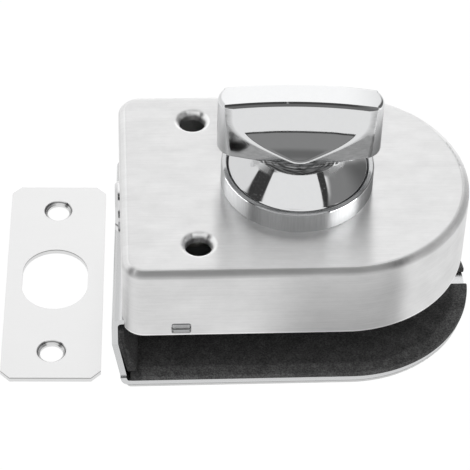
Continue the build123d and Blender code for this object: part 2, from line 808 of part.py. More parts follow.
pieces = {
    "front_cover": front_cover, "u_frame": drilled_frame, "back_cover": back_cover,
    "back_studs": back_studs, "back_pad_near": back_pad_near, "back_pad_far": back_pad_far,
    "web_pad": web_pad, "pressure_plate": pressure_plate, "pressure_pad": pressure_pad,
    "clamp_screw_near": clamp_screw_near, "clamp_screw_far": clamp_screw_far,
    "clamp_bosses": clamp_bosses, "lock_case": lock_case, "case_lid": case_lid,
    "lid_screws": lid_screws, "case_screws": case_screws, "bolt": bolt, "bolt_pin": bolt_pin,
    "rack_frame": rack_frame, "pinion": pinion, "spindle": spindle, "spindle_clip": spindle_clip,
    "spindle_bush": spindle_bush, "detent_leaf": detent_leaf, "detent_rivet": detent_rivet,
    "cover_clips": cover_clips, "knob_rose": knob_rose, "hub_bush": hub_bush,
    "spring_washer": spring_washer, "knob": knob, "knob_grub_screw": knob_grub_screw,
    "strike_plate": strike_plate,
}
for name, piece in pieces.items():
    piece.part.label = name
    export_step(piece.part, f"parts/{name}.step")
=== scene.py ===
"""Looks of the glass door floor lock: finishes, smooth knob and rose, rubber pads and studio."""

import logging
import math
from collections.abc import Callable
from dataclasses import dataclass, field
from enum import Enum

import bmesh
import bpy
import numpy as np
from mathutils import Matrix, Vector


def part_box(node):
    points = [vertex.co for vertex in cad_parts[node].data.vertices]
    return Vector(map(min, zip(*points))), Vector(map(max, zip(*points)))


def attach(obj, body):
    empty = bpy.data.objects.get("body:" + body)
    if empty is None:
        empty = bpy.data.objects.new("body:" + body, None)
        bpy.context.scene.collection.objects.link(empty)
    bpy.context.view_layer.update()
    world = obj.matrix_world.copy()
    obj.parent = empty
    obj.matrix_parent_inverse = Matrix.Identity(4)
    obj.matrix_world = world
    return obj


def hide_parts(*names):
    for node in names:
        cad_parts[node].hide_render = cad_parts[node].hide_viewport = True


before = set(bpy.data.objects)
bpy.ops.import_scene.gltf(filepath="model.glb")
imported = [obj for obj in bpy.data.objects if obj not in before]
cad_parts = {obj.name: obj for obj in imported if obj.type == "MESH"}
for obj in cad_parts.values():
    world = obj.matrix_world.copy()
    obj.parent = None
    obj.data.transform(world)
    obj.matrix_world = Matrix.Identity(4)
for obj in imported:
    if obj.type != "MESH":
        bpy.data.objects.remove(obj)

MM = 0.001
LOG = logging.getLogger("floor_lock")
Socket = bpy.types.NodeSocket
Material = bpy.types.Material
Piece = bpy.types.Object


class Grain(Enum):
    """Way in which a metal surface was worked."""

    BRUSHED = "brushed along X"
    TURNED = "turned about the bolt's axis"
    CAST = "as cast"


class Graph:
    """Small helper that adds nodes to a material's or the world's node tree."""

    def __init__(self, tree: bpy.types.NodeTree) -> None:
        """Start from an empty tree.

        Args:
            tree: the node tree to fill.
        """
        self.tree = tree
        tree.nodes.clear()

    def add(self, kind: str, inputs: dict | None = None, **settings: object) -> bpy.types.Node:
        """Add a node and fill its sockets.

        Args:
            kind: the node's type name.
            inputs: socket name or number, with a value or the socket that it is linked from.
            settings: the node's own properties.

        Returns:
            The new node.
        """
        node = self.tree.nodes.new(kind)
        for name, value in settings.items():
            setattr(node, name, value)
        for name, value in (inputs or {}).items():
            if isinstance(value, Socket):
                self.tree.links.new(value, node.inputs[name])
            else:
                node.inputs[name].default_value = value
        return node

    def place(self) -> Socket:
        """Coordinates on the object, in metres."""
        return self.add("ShaderNodeTexCoord").outputs["Object"]

    def part(self, vector: Socket, axis: str) -> Socket:
        """X, Y or Z of a vector."""
        return self.add("ShaderNodeSeparateXYZ", {0: vector}).outputs[axis]

    def join(self, x: object, y: object, z: object) -> Socket:
        """Vector made of three numbers."""
        return self.add("ShaderNodeCombineXYZ", {0: x, 1: y, 2: z}).outputs[0]

    def math(self, operation: str, *values: object) -> Socket:
        """Add a math node on sockets or numbers, and return its result."""
        node = self.add("ShaderNodeMath", dict(enumerate(values)), operation=operation)
        return node.outputs[0]

    def times(self, *values: object) -> Socket:
        """Multiply sockets or numbers.

        Args:
            values: two or more sockets or numbers.

        Returns:
            Their product.
        """
        product = values[0]
        for value in values[1:]:
            product = self.math("MULTIPLY", product, value)
        return product

    def vector_math(self, operation: str, *values: object) -> Socket:
        """Add a vector math node on sockets or vectors, and return its vector."""
        node = self.add("ShaderNodeVectorMath", dict(enumerate(values)), operation=operation)
        return node.outputs["Vector"]

    def length(self, vector: Socket) -> Socket:
        """Length of a vector."""
        return self.add("ShaderNodeVectorMath", {0: vector}, operation="LENGTH").outputs["Value"]

    def level(self, vector: Socket) -> Socket:
        """Part of a vector that lies in the plane of the table."""
        return self.vector_math("MULTIPLY", vector, (1.0, 1.0, 0.0))

    def ramp(self, value: object, low: float, high: float, out_low: float = 0.0,
             out_high: float = 1.0) -> Socket:
        """Map a value smoothly from one range to another.

        Args:
            value: the socket to map.
            low: value that gives out_low.
            high: value that gives out_high.
            out_low: result at and below low.
            out_high: result at and above high.

        Returns:
            The mapped socket.
        """
        node = self.add("ShaderNodeMapRange", {
            "Value": value, "From Min": low, "From Max": high,
            "To Min": out_low, "To Max": out_high,
        }, interpolation_type="SMOOTHSTEP")
        return node.outputs["Result"]

    def noise(self, place: Socket, stretch: tuple[float, float, float], detail: float = 4.0,
              roughness: float = 0.6) -> Socket:
        """Add a noise that is stretched along the axes.

        Args:
            place: the coordinates.
            stretch: cells per unit of the coordinates along X, Y and Z.
            detail: octaves of the noise.
            roughness: weight of the finer octaves.

        Returns:
            The noise value, about 0.5 in the middle.
        """
        scaled = self.vector_math("MULTIPLY", place, stretch)
        node = self.add("ShaderNodeTexNoise", {
            "Vector": scaled, "Scale": 1.0, "Detail": detail, "Roughness": roughness,
        })
        return node.outputs["Fac"]

    def swing(self, noise: Socket, size: float) -> Socket:
        """Noise that swings about 0 instead of 0.5, made larger or smaller."""
        return self.times(self.math("SUBTRACT", noise, 0.5), size)

    def mix(self, factor: object, low: object, high: object) -> Socket:
        """Mix two numbers by a factor, and return the result."""
        node = self.add("ShaderNodeMix", {0: factor, 2: low, 3: high}, data_type="FLOAT")
        return node.outputs[0]

    def mix_vectors(self, factor: object, low: object, high: object) -> Socket:
        """Mix two vectors by a factor, and return the result."""
        node = self.add("ShaderNodeMix", {0: factor, 4: low, 5: high}, data_type="VECTOR")
        return node.outputs[1]

    def grey(self, value: Socket, tint: object) -> Socket:
        """Colour of a tint that is made lighter or darker by a value."""
        node = self.add("ShaderNodeVectorMath", {0: tint, "Scale": value}, operation="SCALE")
        return node.outputs["Vector"]

    def bump(self, height: Socket, distance: float) -> Socket:
        """Turn a height into a normal; the distance is in metres."""
        node = self.add("ShaderNodeBump", {"Height": height, "Distance": distance})
        return node.outputs["Normal"]

    def surface(self, **inputs: object) -> bpy.types.Node:
        """Add the surface shader and link it to the output.

        Args:
            inputs: the shader's sockets, with an underscore for each space in a name.

        Returns:
            The shader's node.
        """
        named = {name.replace("_", " "): value for name, value in inputs.items()}
        shader = self.add("ShaderNodeBsdfPrincipled", named)
        self.add("ShaderNodeOutputMaterial", {"Surface": shader.outputs["BSDF"]})
        return shader


def new_material(name: str) -> tuple[Material, Graph]:
    """Make an empty material.

    Args:
        name: the material's name.

    Returns:
        The material and the helper for its nodes.
    """
    material = bpy.data.materials.new(name)
    material.use_nodes = True
    return material, Graph(material.node_tree)


@dataclass(frozen=True)
class Metal:
    """Bare or plated metal with the marks of its working, and some painted shade and highlights.

    Levels and radii are in millimetres. A band is a pair of values of the normal between which a
    mark fades in: its part along Z, which is 1 on level faces and 0 on walls, or along Y.
    """

    name: str
    tint: tuple[float, float, float]
    roughness: float
    grain: Grain
    lines: float = 9000.0
    cross_share: float = 0.02
    streak: float = 0.05
    relief: float = 1.2e-6
    anisotropy: float = 0.0
    brushed_band: tuple[float, float] = (0.985, 0.998)
    clouds: float = 0.03
    cloud_cells: tuple[float, float, float] = (90.0, 150.0, 150.0)
    rough_spread: float = 0.06
    flat_band: tuple[float, float] = (0.5, 0.75)
    # Painted shade: walls are made darker than level faces.
    painted_wall_shade: float = 1.0
    wall_roughness: float | None = None
    bend_roughness: float | None = None
    bend_bands: tuple[tuple[float, float], ...] = ((0.99, 0.93), (0.04, 0.3))
    # Painted shade: the bend at the front top edge is darkened to stand in for a dark reflection.
    painted_fold_shade: float = 1.0
    fold_bands: tuple[tuple[float, float], ...] = ((0.985, 0.91), (0.3, 0.75))
    fold_front: tuple[float, float] = (-0.82, -0.97)
    # Painted shadow: a dark line at each level where two sheets meet.
    shadowed_seams: tuple[float, ...] = ()
    seam_painted_shadow: float = 0.3
    # Painted highlight: the sheet's cut edge below this level is made lighter.
    painted_highlight_level: float | None = None
    painted_highlight_gain: float = 1.25
    cut_level: float = -1.0
    cut_shade: float = 0.7
    lips: tuple[tuple[float, float], ...] = ()
    lip_radius: float = 4.7
    lip_fade: float = 0.8
    lip_roughness: float = 0.3
    # Painted highlight: the hole lips are made lighter.
    painted_lip_highlight: float = 1.2

    def material(self) -> Material:
        """Build the material.

        Returns:
            The finished material.
        """
        material, graph = new_material(self.name)
        place = graph.place()
        normal = graph.add("ShaderNodeNewGeometry").outputs["True Normal"]
        upright = graph.math("ABSOLUTE", graph.part(normal, "Z"))
        flat = graph.ramp(upright, *self.flat_band)
        lines = self.grain_lines(graph, place, flat)
        lip = self.near_lips(graph, place)
        fold = graph.times(self.front_fold(graph, normal, upright),
                           graph.math("SUBTRACT", 1.0, lip))
        colour = graph.grey(self.wear_and_painted_edge_shade(graph, place, lines), self.tint)
        cut = graph.ramp(self.height(graph, place), self.cut_level, self.cut_level + 0.15,
                         self.cut_shade, 1.0)
        # Painted shade on the walls and the front fold, painted highlight at the hole lips; the
        # last factor darkens the foot of the walls.
        for shade in (graph.mix(flat, self.painted_wall_shade, 1.0), graph.mix(fold, 1.0, self.painted_fold_shade),
                      graph.mix(lip, 1.0, self.painted_lip_highlight), graph.mix(flat, cut, 1.0)):
            colour = graph.grey(shade, colour)
        rough = self.worn_roughness(graph, upright, flat, lines)
        shader = graph.surface(
            Base_Color=colour, Metallic=1.0, Roughness=graph.mix(lip, rough, self.lip_roughness),
            Anisotropic=self.anisotropy, Normal=graph.bump(lines, self.relief),
        )
        if self.anisotropy > 0:
            around = graph.vector_math("CROSS_PRODUCT", (0.0, 0.0, 1.0), normal)
            brushed = graph.ramp(upright, *self.brushed_band)
            stroke = graph.mix_vectors(brushed, around, (1.0, 0.0, 0.0))
            across = graph.vector_math("CROSS_PRODUCT", normal, stroke)
            graph.tree.links.new(across, shader.inputs["Tangent"])
        return material

    @staticmethod
    def height(graph: Graph, place: Socket) -> Socket:
        """Height over the table in millimetres."""
        return graph.math("DIVIDE", graph.part(place, "Z"), MM)

    def wear_and_painted_edge_shade(self, graph: Graph, place: Socket, lines: Socket) -> Socket:
        """Shade of the worked lines and cloudy wear, and painted shade and highlight at the edges.

        Args:
            graph: the material's nodes.
            place: coordinates in metres.
            lines: value of the worked lines.

        Returns:
            The shade, about 1 in the middle.
        """
        clouds = graph.noise(place, self.cloud_cells, 6.0, 0.68)
        marks = graph.math("ADD", graph.swing(lines, self.streak), graph.swing(clouds, self.clouds))
        return graph.times(graph.math("ADD", marks, 1.0), self.painted_seam_and_edge_light(graph, place))

    def worn_roughness(self, graph: Graph, upright: Socket, flat: Socket, lines: Socket) -> Socket:
        """Roughness of the faces, the walls and the bends between them.

        Args:
            graph: the material's nodes.
            upright: size of the normal's part along Z.
            flat: 1 on level faces, 0 on walls.
            lines: value of the worked lines.

        Returns:
            The roughness.
        """
        bend = graph.times(*(graph.ramp(upright, *band) for band in self.bend_bands))
        plain = graph.mix(flat, self.wall_roughness or self.roughness, self.roughness)
        rough = graph.mix(bend, plain, self.bend_roughness or self.roughness)
        return graph.math("ADD", graph.swing(lines, self.rough_spread), rough)

    def front_fold(self, graph: Graph, normal: Socket, upright: Socket) -> Socket:
        """Where the bend at the top of the wall turns to the front, and painted shade darkens it.

        Args:
            graph: the material's nodes.
            normal: the surface's normal.
            upright: size of the normal's part along Z.

        Returns:
            1 on that bend and 0 elsewhere.
        """
        backward = graph.part(graph.vector_math("NORMALIZE", graph.level(normal)), "Y")
        bands = (graph.ramp(upright, *band) for band in self.fold_bands)
        return graph.times(*bands, graph.ramp(backward, *self.fold_front))

    def near_lips(self, graph: Graph, place: Socket) -> Socket:
        """Where the metal is drawn into round holes: smoother, and lighter by a painted highlight.

        Args:
            graph: the material's nodes.
            place: coordinates in metres.

        Returns:
            1 at the holes and 0 away from them.
        """
        nearest = graph.math("ADD", 1.0, 0.0)
        for x, y in self.lips:
            away = graph.vector_math("SUBTRACT", place, (x * MM, y * MM, 0.0))
            nearest = graph.math("MINIMUM", nearest, graph.length(graph.level(away)))
        inner = self.lip_radius - self.lip_fade
        return graph.ramp(nearest, inner * MM, self.lip_radius * MM, 1.0, 0.0)

    def painted_seam_and_edge_light(self, graph: Graph, place: Socket) -> Socket:
        """Painted shadow at the levels where sheets meet, painted highlight on a sheet's cut edge.

        Args:
            graph: the material's nodes.
            place: coordinates in metres.

        Returns:
            1 on plain metal, less in a seam's painted shadow, more in the cut edge's painted
            highlight.
        """
        height = self.height(graph, place)
        shade = graph.math("ADD", 1.0, 0.0)
        # Painted shadow in the gap where two sheets meet.
        for seam in self.shadowed_seams:
            away = graph.math("ABSOLUTE", graph.math("SUBTRACT", height, seam))
            shade = graph.times(shade, graph.ramp(away, 0.04, 0.2, self.seam_painted_shadow, 1.0))
        # Painted highlight along the sheet's cut edge.
        if self.painted_highlight_level is not None:
            above = graph.math("SUBTRACT", height, self.painted_highlight_level)
            shade = graph.times(shade, graph.ramp(above, 0.2, 0.55, self.painted_highlight_gain, 1.0))
        return shade

    def grain_lines(self, graph: Graph, place: Socket, flat: Socket) -> Socket:
        """Value of the worked lines.

        Args:
            graph: the material's nodes.
            place: coordinates in metres.
            flat: 1 on level faces, 0 on walls.

        Returns:
            The line value, about 0.5 in the middle.
        """
        along = self.lines * self.cross_share
        if self.grain is Grain.BRUSHED:
            level = graph.noise(place, (along, self.lines, along))
            walls = graph.noise(place, (along, along, self.lines))
            return graph.mix(flat, walls, level)
        if self.grain is Grain.TURNED:
            return graph.noise(place, (self.lines, along, along))
        return graph.noise(place, (self.lines,) * 3)


@dataclass(frozen=True)
class Chrome:
    """Polished chrome plate, a little wavy as polished castings are.

    The mesh's attributes say where the casting is less polished: its flanks, the recess of its
    neck and its ends. Painted shade also darkens the flanks and the recess.
    """

    name: str = "polished_chrome"
    tint: tuple[float, float, float] = (0.72, 0.725, 0.73)
    roughness: float = 0.035
    haze_roughness: float = 1.6
    wave: float = 1.3e-5
    wave_cells: float = 250.0
    haze_cells: float = 700.0
    # Painted shade: the bar's flanks are made darker.
    painted_flank_shade: float = 0.66
    flank_cells: tuple[float, float, float] = (500.0, 500.0, 1500.0)
    flank_roughness: float = 0.09
    flank_wave: float = 3.0
    end_roughness: float = 0.3
    # Painted shade: the recess of the neck is made darker, in streaks.
    painted_recess_shade: float = 0.3
    recess_roughness: float = 0.3
    ring_lines: float = 2600.0

    def material(self) -> Material:
        """Build the material.

        Returns:
            The finished material.
        """
        material, graph = new_material(self.name)
        place = graph.place()
        wave = graph.noise(place, (self.wave_cells,) * 3, 1.0, 0.4)
        haze = graph.noise(place, (self.haze_cells,) * 3, 2.0)
        worked = graph.noise(place, self.flank_cells, 4.0, 0.7)
        flank, recess, end = (
            graph.add("ShaderNodeAttribute", attribute_name=kind).outputs["Fac"]
            for kind in ("flank", "recess", "end")
        )
        # Painted shade on the bar's flanks.
        flank_painted_dark = graph.times(self.painted_flank_shade, graph.ramp(worked, 0.25, 0.75, 0.86, 1.14))
        shade = graph.times(graph.ramp(haze, 0.25, 0.75, 0.985, 1.0),
                            graph.mix(flank, 1.0, flank_painted_dark))
        # Painted shade with dark streaks in the neck's recess.
        shade = graph.mix(recess, shade, graph.times(self.painted_recess_streaks(graph, place), self.painted_recess_shade))
        rough = graph.ramp(haze, 0.3, 0.7, self.roughness, self.roughness * self.haze_roughness)
        for kind, value in ((flank, self.flank_roughness), (recess, self.recess_roughness),
                            (end, self.end_roughness)):
            rough = graph.mix(kind, rough, value)
        height = graph.mix(flank, wave, graph.times(wave, self.flank_wave))
        graph.surface(Base_Color=graph.grey(shade, self.tint), Metallic=1.0, Roughness=rough,
                      Normal=graph.bump(height, self.wave))
        return material

    def painted_recess_streaks(self, graph: Graph, place: Socket) -> Socket:
        """Painted shade in uneven streaks round the knob's neck.

        Args:
            graph: the material's nodes.
            place: coordinates in metres.

        Returns:
            The lines' shade, about 1 in the middle.
        """
        turn = graph.math("ARCTAN2", graph.part(place, "X"), graph.part(place, "Y"))
        radius = graph.length(graph.level(place))
        lines = graph.join(graph.times(radius, self.ring_lines), graph.times(turn, 3.0), 0.0)
        return graph.ramp(graph.noise(lines, (1.0,) * 3, 3.0, 0.5), 0.38, 0.62, 0.35, 1.65)


@dataclass(frozen=True)
class RingFinish:
    """Finish of the rose: a turned satin wall under a polished rim."""

    name: str = "satin_ring"
    tint: tuple[float, float, float] = (0.5, 0.505, 0.51)
    roughness: float = 0.46
    rim_roughness: float = 0.12
    rim_band: tuple[float, float] = (0.1, 0.3)
    grains: float = 90.0
    grains_up: float = 150.0

    def material(self) -> Material:
        """Build the material.

        Returns:
            The finished material.
        """
        material, graph = new_material(self.name)
        place = graph.place()
        turn = graph.math("ARCTAN2", graph.part(place, "X"), graph.part(place, "Y"))
        marks = graph.join(graph.times(turn, self.grains),
                           graph.times(graph.part(place, "Z"), self.grains_up), 0.0)
        wear = graph.ramp(graph.noise(marks, (1.0,) * 3, 4.0, 0.5), 0.3, 0.7, 0.93, 1.06)
        normal = graph.add("ShaderNodeNewGeometry").outputs["Normal"]
        rim = graph.ramp(graph.math("ABSOLUTE", graph.part(normal, "Z")), *self.rim_band)
        graph.surface(Base_Color=graph.grey(wear, self.tint), Metallic=1.0,
                      Roughness=graph.mix(rim, self.roughness, self.rim_roughness),
                      Anisotropic=1.0, Tangent=graph.join(0.0, 0.0, 1.0))
        return material


@dataclass(frozen=True)
class Rubber:
    """Black granular rubber of the liner pads, with painted light along the back pads' outer edge.

    Sizes in millimetres: the painted light begins at a distance from the middle line of the D.
    """

    name: str = "black_rubber"
    dark: float = 0.034
    light: float = 0.13
    grains: float = 2600.0
    patches: float = 260.0
    relief: float = 9.0e-5
    painted_light_band: tuple[float, float] = (28.2, 29.6)
    painted_light_left: tuple[float, float] = (-39.5, -38.5)
    painted_light_gain: float = 1.7
    centre: float = 13.2

    def material(self) -> Material:
        """Build the material.

        Returns:
            The finished material.
        """
        material, graph = new_material(self.name)
        place = graph.place()
        grains = graph.noise(place, (self.grains,) * 3, 3.0, 0.7)
        patches = graph.noise(place, (self.patches,) * 3, 2.0)
        # The last factor is painted light along the back pads' outer edge.
        value = graph.times(graph.ramp(grains, 0.3, 0.78, self.dark, self.light),
                            graph.ramp(patches, 0.3, 0.7, 0.8, 1.2),
                            self.painted_light_edge(graph, place))
        graph.surface(Base_Color=graph.grey(value, (1.0, 1.0, 1.0)),
                      Roughness=graph.ramp(grains, 0.3, 0.7, 0.95, 0.7),
                      Normal=graph.bump(grains, self.relief), Specular_IOR_Level=0.25)
        return material

    def painted_light_edge(self, graph: Graph, place: Socket) -> Socket:
        """Painted light along the back pads' outer edge, which the cover doesn't shade.

        Args:
            graph: the material's nodes.
            place: coordinates in metres.

        Returns:
            1 on plain rubber and more in the painted light along the edge.
        """
        x, y = graph.part(place, "X"), graph.part(place, "Y")
        beyond = graph.math("MAXIMUM", graph.math("SUBTRACT", x, self.centre * MM), 0.0)
        reach = graph.length(graph.join(beyond, y, 0.0))
        low, high = (limit * MM for limit in self.painted_light_band)
        left, right = (limit * MM for limit in self.painted_light_left)
        return graph.mix(graph.ramp(x, left, right), 1.0,
                         graph.ramp(reach, low, high, 1.0, self.painted_light_gain))


@dataclass(frozen=True)
class Card:
    """A light or dark area of the studio, as seen from the object.

    Azimuth 0 is the front (-Y) and 90 the right (+X); all angles are in degrees. An edge is a
    straight line on the ceiling, front > slope * right + offset, where front and right are
    measured in units of the ceiling's height; its side is 1 above the line and -1 below it.
    Speckle is the level of the pale grains on a dark card.
    """

    level: float
    speckle: float = 0.0
    left: float = -180.0
    right: float = 180.0
    low: float = -90.0
    high: float = 90.0
    soft: float = 2.5
    edges: tuple[tuple[float, float, int], ...] = ()


@dataclass(frozen=True)
class Panel:
    """A lamp that stands beside the object and lights the rose alone.

    Angles are in degrees, sizes in metres and the level is that of its face. The lamp aims at the
    rose, at a height over the table.
    """

    level: float
    azimuth: float
    width: float
    height: float = 0.13
    distance: float = 0.3
    elevation: float = 4.0
    aim: float = 0.043

    def build(self, lit: Piece) -> None:
        """Hang the lamp.

        Args:
            lit: the only piece that the lamp lights.
        """
        data = bpy.data.lights.new("rose_panel", "AREA")
        data.shape = "RECTANGLE"
        data.size, data.size_y = self.width, self.height
        data.energy = self.level * math.pi * self.width * self.height
        lamp = bpy.data.objects.new("rose_panel", data)
        bpy.context.collection.objects.link(lamp)
        turn, rise = math.radians(self.azimuth), math.radians(self.elevation)
        away = Vector((math.sin(turn) * math.cos(rise), -math.cos(turn) * math.cos(rise),
                       math.sin(rise)))
        lamp.location = away * self.distance + Vector((0.0, 0.0, self.aim))
        lamp.rotation_euler = away.to_track_quat("Z", "Y").to_euler()
        lamp.visible_camera = False
        receivers = bpy.data.collections.new("lit_by_panel")
        receivers.objects.link(lit)
        lamp.light_linking.receiver_collection = receivers


@dataclass
class Studio:
    """World, floor, lamps and camera.

    The floor's sizes are in metres. A dim limit is an axis with two places in millimetres: where
    the dark patch begins and where it is full. The camera's target and distance are in
    millimetres and its angles in degrees.
    """

    base_level: float = 1.3
    grains: float = 34.0
    cards: list[Card] = field(default_factory=lambda: [
        Card(0.92, left=-160, right=-60, soft=12.0),
        Card(0.27, left=62, right=140, low=4, high=84, soft=8.0),
        Card(0.14, left=108, right=150, low=4, high=70, soft=16.0),
        Card(0.30, left=-80, right=80, high=27, soft=2.0),
        Card(0.18, left=-13, right=13, low=12, high=24, soft=4.0),
        Card(0.2, left=-179, right=-20, low=20, soft=6.0,
             edges=((-0.3, -0.49, 1), (-0.72, -0.31, -1))),
        Card(0.05, 0.4, left=-170, right=-20, low=20,
             edges=((0.0, -0.19, 1), (-0.72, -0.31, -1))),
        Card(0.05, 0.4, left=20, right=100, low=18,
             edges=((0.725, -0.17, 1), (1.387, -0.335, -1))),
        Card(1.02, left=-110, right=75, low=27, soft=1.5,
             edges=((-0.72, -0.31, 1), (1.387, -0.335, 1))),
        Card(2.4, left=48, right=100, low=-12, high=5, soft=3.0),
        Card(0.06, left=-50, right=50, low=-15, high=-10.2, soft=0.6),
        Card(0.07, low=73, soft=3.0),
    ])
    panels: tuple[Panel, ...] = (Panel(9.5, azimuth=60, width=0.22),
                                 Panel(4.4, azimuth=-92, width=0.26))
    floor_half: float = 1.2
    floor_front: float = -0.27
    floor_white: float = 0.9
    floor_glow: float = 1.04
    floor_dim: float = 0.0
    floor_share: float = 0.95
    dim_limits: tuple[tuple[str, float, float], ...] = (
        ("X", -14.0, 8.0), ("X", 66.0, 44.0), ("Y", -66.0, -56.0), ("Y", -39.0, -46.0),
    )
    target: tuple[float, float, float] = (-13.234, 20.928, 0.0)
    distance: float = 609.82
    heading: float = 4.155
    elevation: float = 44.759
    roll: float = 1.948
    focal: float = 176.45
    sensor: float = 36.0

    def build(self, rose: Piece) -> None:
        """Make the world, the floor, the lamps and the camera.

        Args:
            rose: the ring, which has lamps of its own.
        """
        self.build_world()
        self.build_floor()
        self.build_camera()
        for panel in self.panels:
            panel.build(rose)

    def build_world(self) -> None:
        """Light the object from a plain studio whose parts are areas of direction."""
        world = bpy.data.worlds.new("studio")
        world.use_nodes = True
        bpy.context.scene.world = world
        graph = Graph(world.node_tree)
        direction = graph.add("ShaderNodeTexCoord").outputs["Generated"]
        right, up = graph.part(direction, "X"), graph.part(direction, "Z")
        backward = graph.times(graph.part(direction, "Y"), -1.0)
        azimuth = graph.math("DEGREES", graph.math("ARCTAN2", right, backward))
        elevation = graph.math("DEGREES", graph.math("ARCSINE", up))
        rise = graph.math("MAXIMUM", up, 0.001)
        front = graph.math("DIVIDE", backward, rise)
        side = graph.math("DIVIDE", right, rise)
        grains = graph.noise(direction, (self.grains,) * 3, 4.0, 0.7)
        level = self.base_level
        for card in self.cards:
            mask = graph.times(self.window(graph, azimuth, card.left, card.right, card.soft),
                               self.window(graph, elevation, card.low, card.high, card.soft))
            blur = 0.02 * card.soft
            for slope, offset, keep in card.edges:
                line = graph.math("ADD", graph.times(side, slope), offset)
                past = graph.times(graph.math("SUBTRACT", front, line), float(keep))
                mask = graph.times(mask, graph.ramp(past, -blur, blur))
            inner = card.level
            if card.speckle > 0:
                inner = graph.ramp(grains, 0.56, 0.78, card.level, card.speckle)
            level = graph.mix(mask, level, inner)
        seen = graph.add("ShaderNodeLightPath").outputs["Is Camera Ray"]
        background = graph.add("ShaderNodeBackground", {
            "Color": (1.0,) * 4, "Strength": graph.mix(seen, level, 1.0),
        })
        graph.add("ShaderNodeOutputWorld", {"Surface": background.outputs[0]})

    @staticmethod
    def window(graph: Graph, value: Socket, low: float, high: float, soft: float) -> Socket:
        """Mask between two limits.

        Args:
            graph: the nodes.
            value: the socket to test.
            low: the lower limit.
            high: the upper limit.
            soft: half the width of the blur at each limit.

        Returns:
            1 between the limits and 0 outside.
        """
        return graph.times(graph.ramp(value, low - soft, low + soft),
                           graph.ramp(value, high - soft, high + soft, 1.0, 0.0))

    def build_floor(self) -> None:
        """Lay a pale floor that shows white and keeps the object's shadow."""
        half, front = self.floor_half, self.floor_front
        mesh = bpy.data.meshes.new("floor")
        mesh.from_pydata([(-half, front, 0), (half, front, 0), (half, half, 0), (-half, half, 0)],
                         [], [(0, 1, 2, 3)])
        floor = bpy.data.objects.new("floor", mesh)
        bpy.context.collection.objects.link(floor)
        material, graph = new_material("pale_floor")
        path = graph.add("ShaderNodeLightPath").outputs
        seen = graph.math("MAXIMUM", path["Is Camera Ray"], path["Is Glossy Ray"])
        paint = graph.add("ShaderNodeBsdfDiffuse", {"Color": (self.floor_white,) * 3 + (1.0,)})
        dim = graph.times(self.dim_patch(graph), path["Is Glossy Ray"])
        strength = graph.mix(dim, self.floor_glow, self.floor_dim)
        glow = graph.add("ShaderNodeEmission", {"Color": (1.0,) * 4, "Strength": strength})
        mixed = graph.add("ShaderNodeMixShader", {
            0: graph.times(seen, self.floor_share), 1: paint.outputs[0], 2: glow.outputs[0],
        })
        graph.add("ShaderNodeOutputMaterial", {"Surface": mixed.outputs[0]})
        mesh.materials.append(material)

    def dim_patch(self, graph: Graph) -> Socket:
        """Part of the floor in front of the cover that its steel mirrors as dark.

        Args:
            graph: the floor's nodes.

        Returns:
            1 on the patch and 0 elsewhere.
        """
        place = graph.place()
        return graph.times(*(graph.ramp(graph.part(place, axis), start * MM, full * MM)
                             for axis, start, full in self.dim_limits))

    def build_camera(self) -> None:
        """Place the camera where the photograph was taken."""
        heading, elevation = math.radians(self.heading), math.radians(self.elevation)
        forward = Vector((math.sin(heading) * math.cos(elevation),
                          math.cos(heading) * math.cos(elevation), -math.sin(elevation)))
        level = Vector((math.cos(heading), -math.sin(heading), 0.0))
        turned = Matrix.Rotation(-math.radians(self.roll), 3, forward)
        right = turned @ level
        up = right.cross(forward)
        place = (Vector(self.target) - forward * self.distance) * MM
        data = bpy.data.cameras.new("camera")
        data.lens = self.focal
        data.sensor_width = self.sensor
        data.clip_start, data.clip_end = 0.05, 20.0
        camera = bpy.data.objects.new("camera", data)
        bpy.context.collection.objects.link(camera)
        turn = Matrix((right, up, -forward)).transposed().to_4x4()
        camera.matrix_world = Matrix.Translation(place) @ turn
        bpy.context.scene.camera = camera


def make_piece(name: str, points: np.ndarray, faces: list, material: Material,
               body: str, nodes: tuple[str, ...]) -> Piece:
    """Make a mesh piece that stands for CAD nodes.

    Args:
        name: the piece's name.
        points: vertices in millimetres.
        faces: vertex numbers of each face.
        material: the finish.
        body: the body that it rides on.
        nodes: the CAD nodes that it replaces.

    Returns:
        The new object.
    """
    mesh = bpy.data.meshes.new(name)
    mesh.from_pydata((np.asarray(points) * MM).tolist(), [], faces)
    mesh.validate()
    mesh.materials.append(material)
    piece = bpy.data.objects.new(name, mesh)
    bpy.context.collection.objects.link(piece)
    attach(piece, body)
    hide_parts(*nodes)
    return piece


def round_both(first: np.ndarray, second: np.ndarray, radius: float) -> np.ndarray:
    """Distance to the common space of two forms, with the edge between them rounded.

    Args:
        first: signed distances to the first form.
        second: signed distances to the second form.
        radius: radius of the rounded edge.

    Returns:
        Signed distances, below zero inside.
    """
    outside = np.hypot(np.maximum(first + radius, 0), np.maximum(second + radius, 0))
    return np.minimum(-radius, np.maximum(first, second)) + outside


def round_either(first: np.ndarray, second: np.ndarray, radius: float) -> np.ndarray:
    """Distance to two forms joined, with a cove between them."""
    return -round_both(-first, -second, radius)


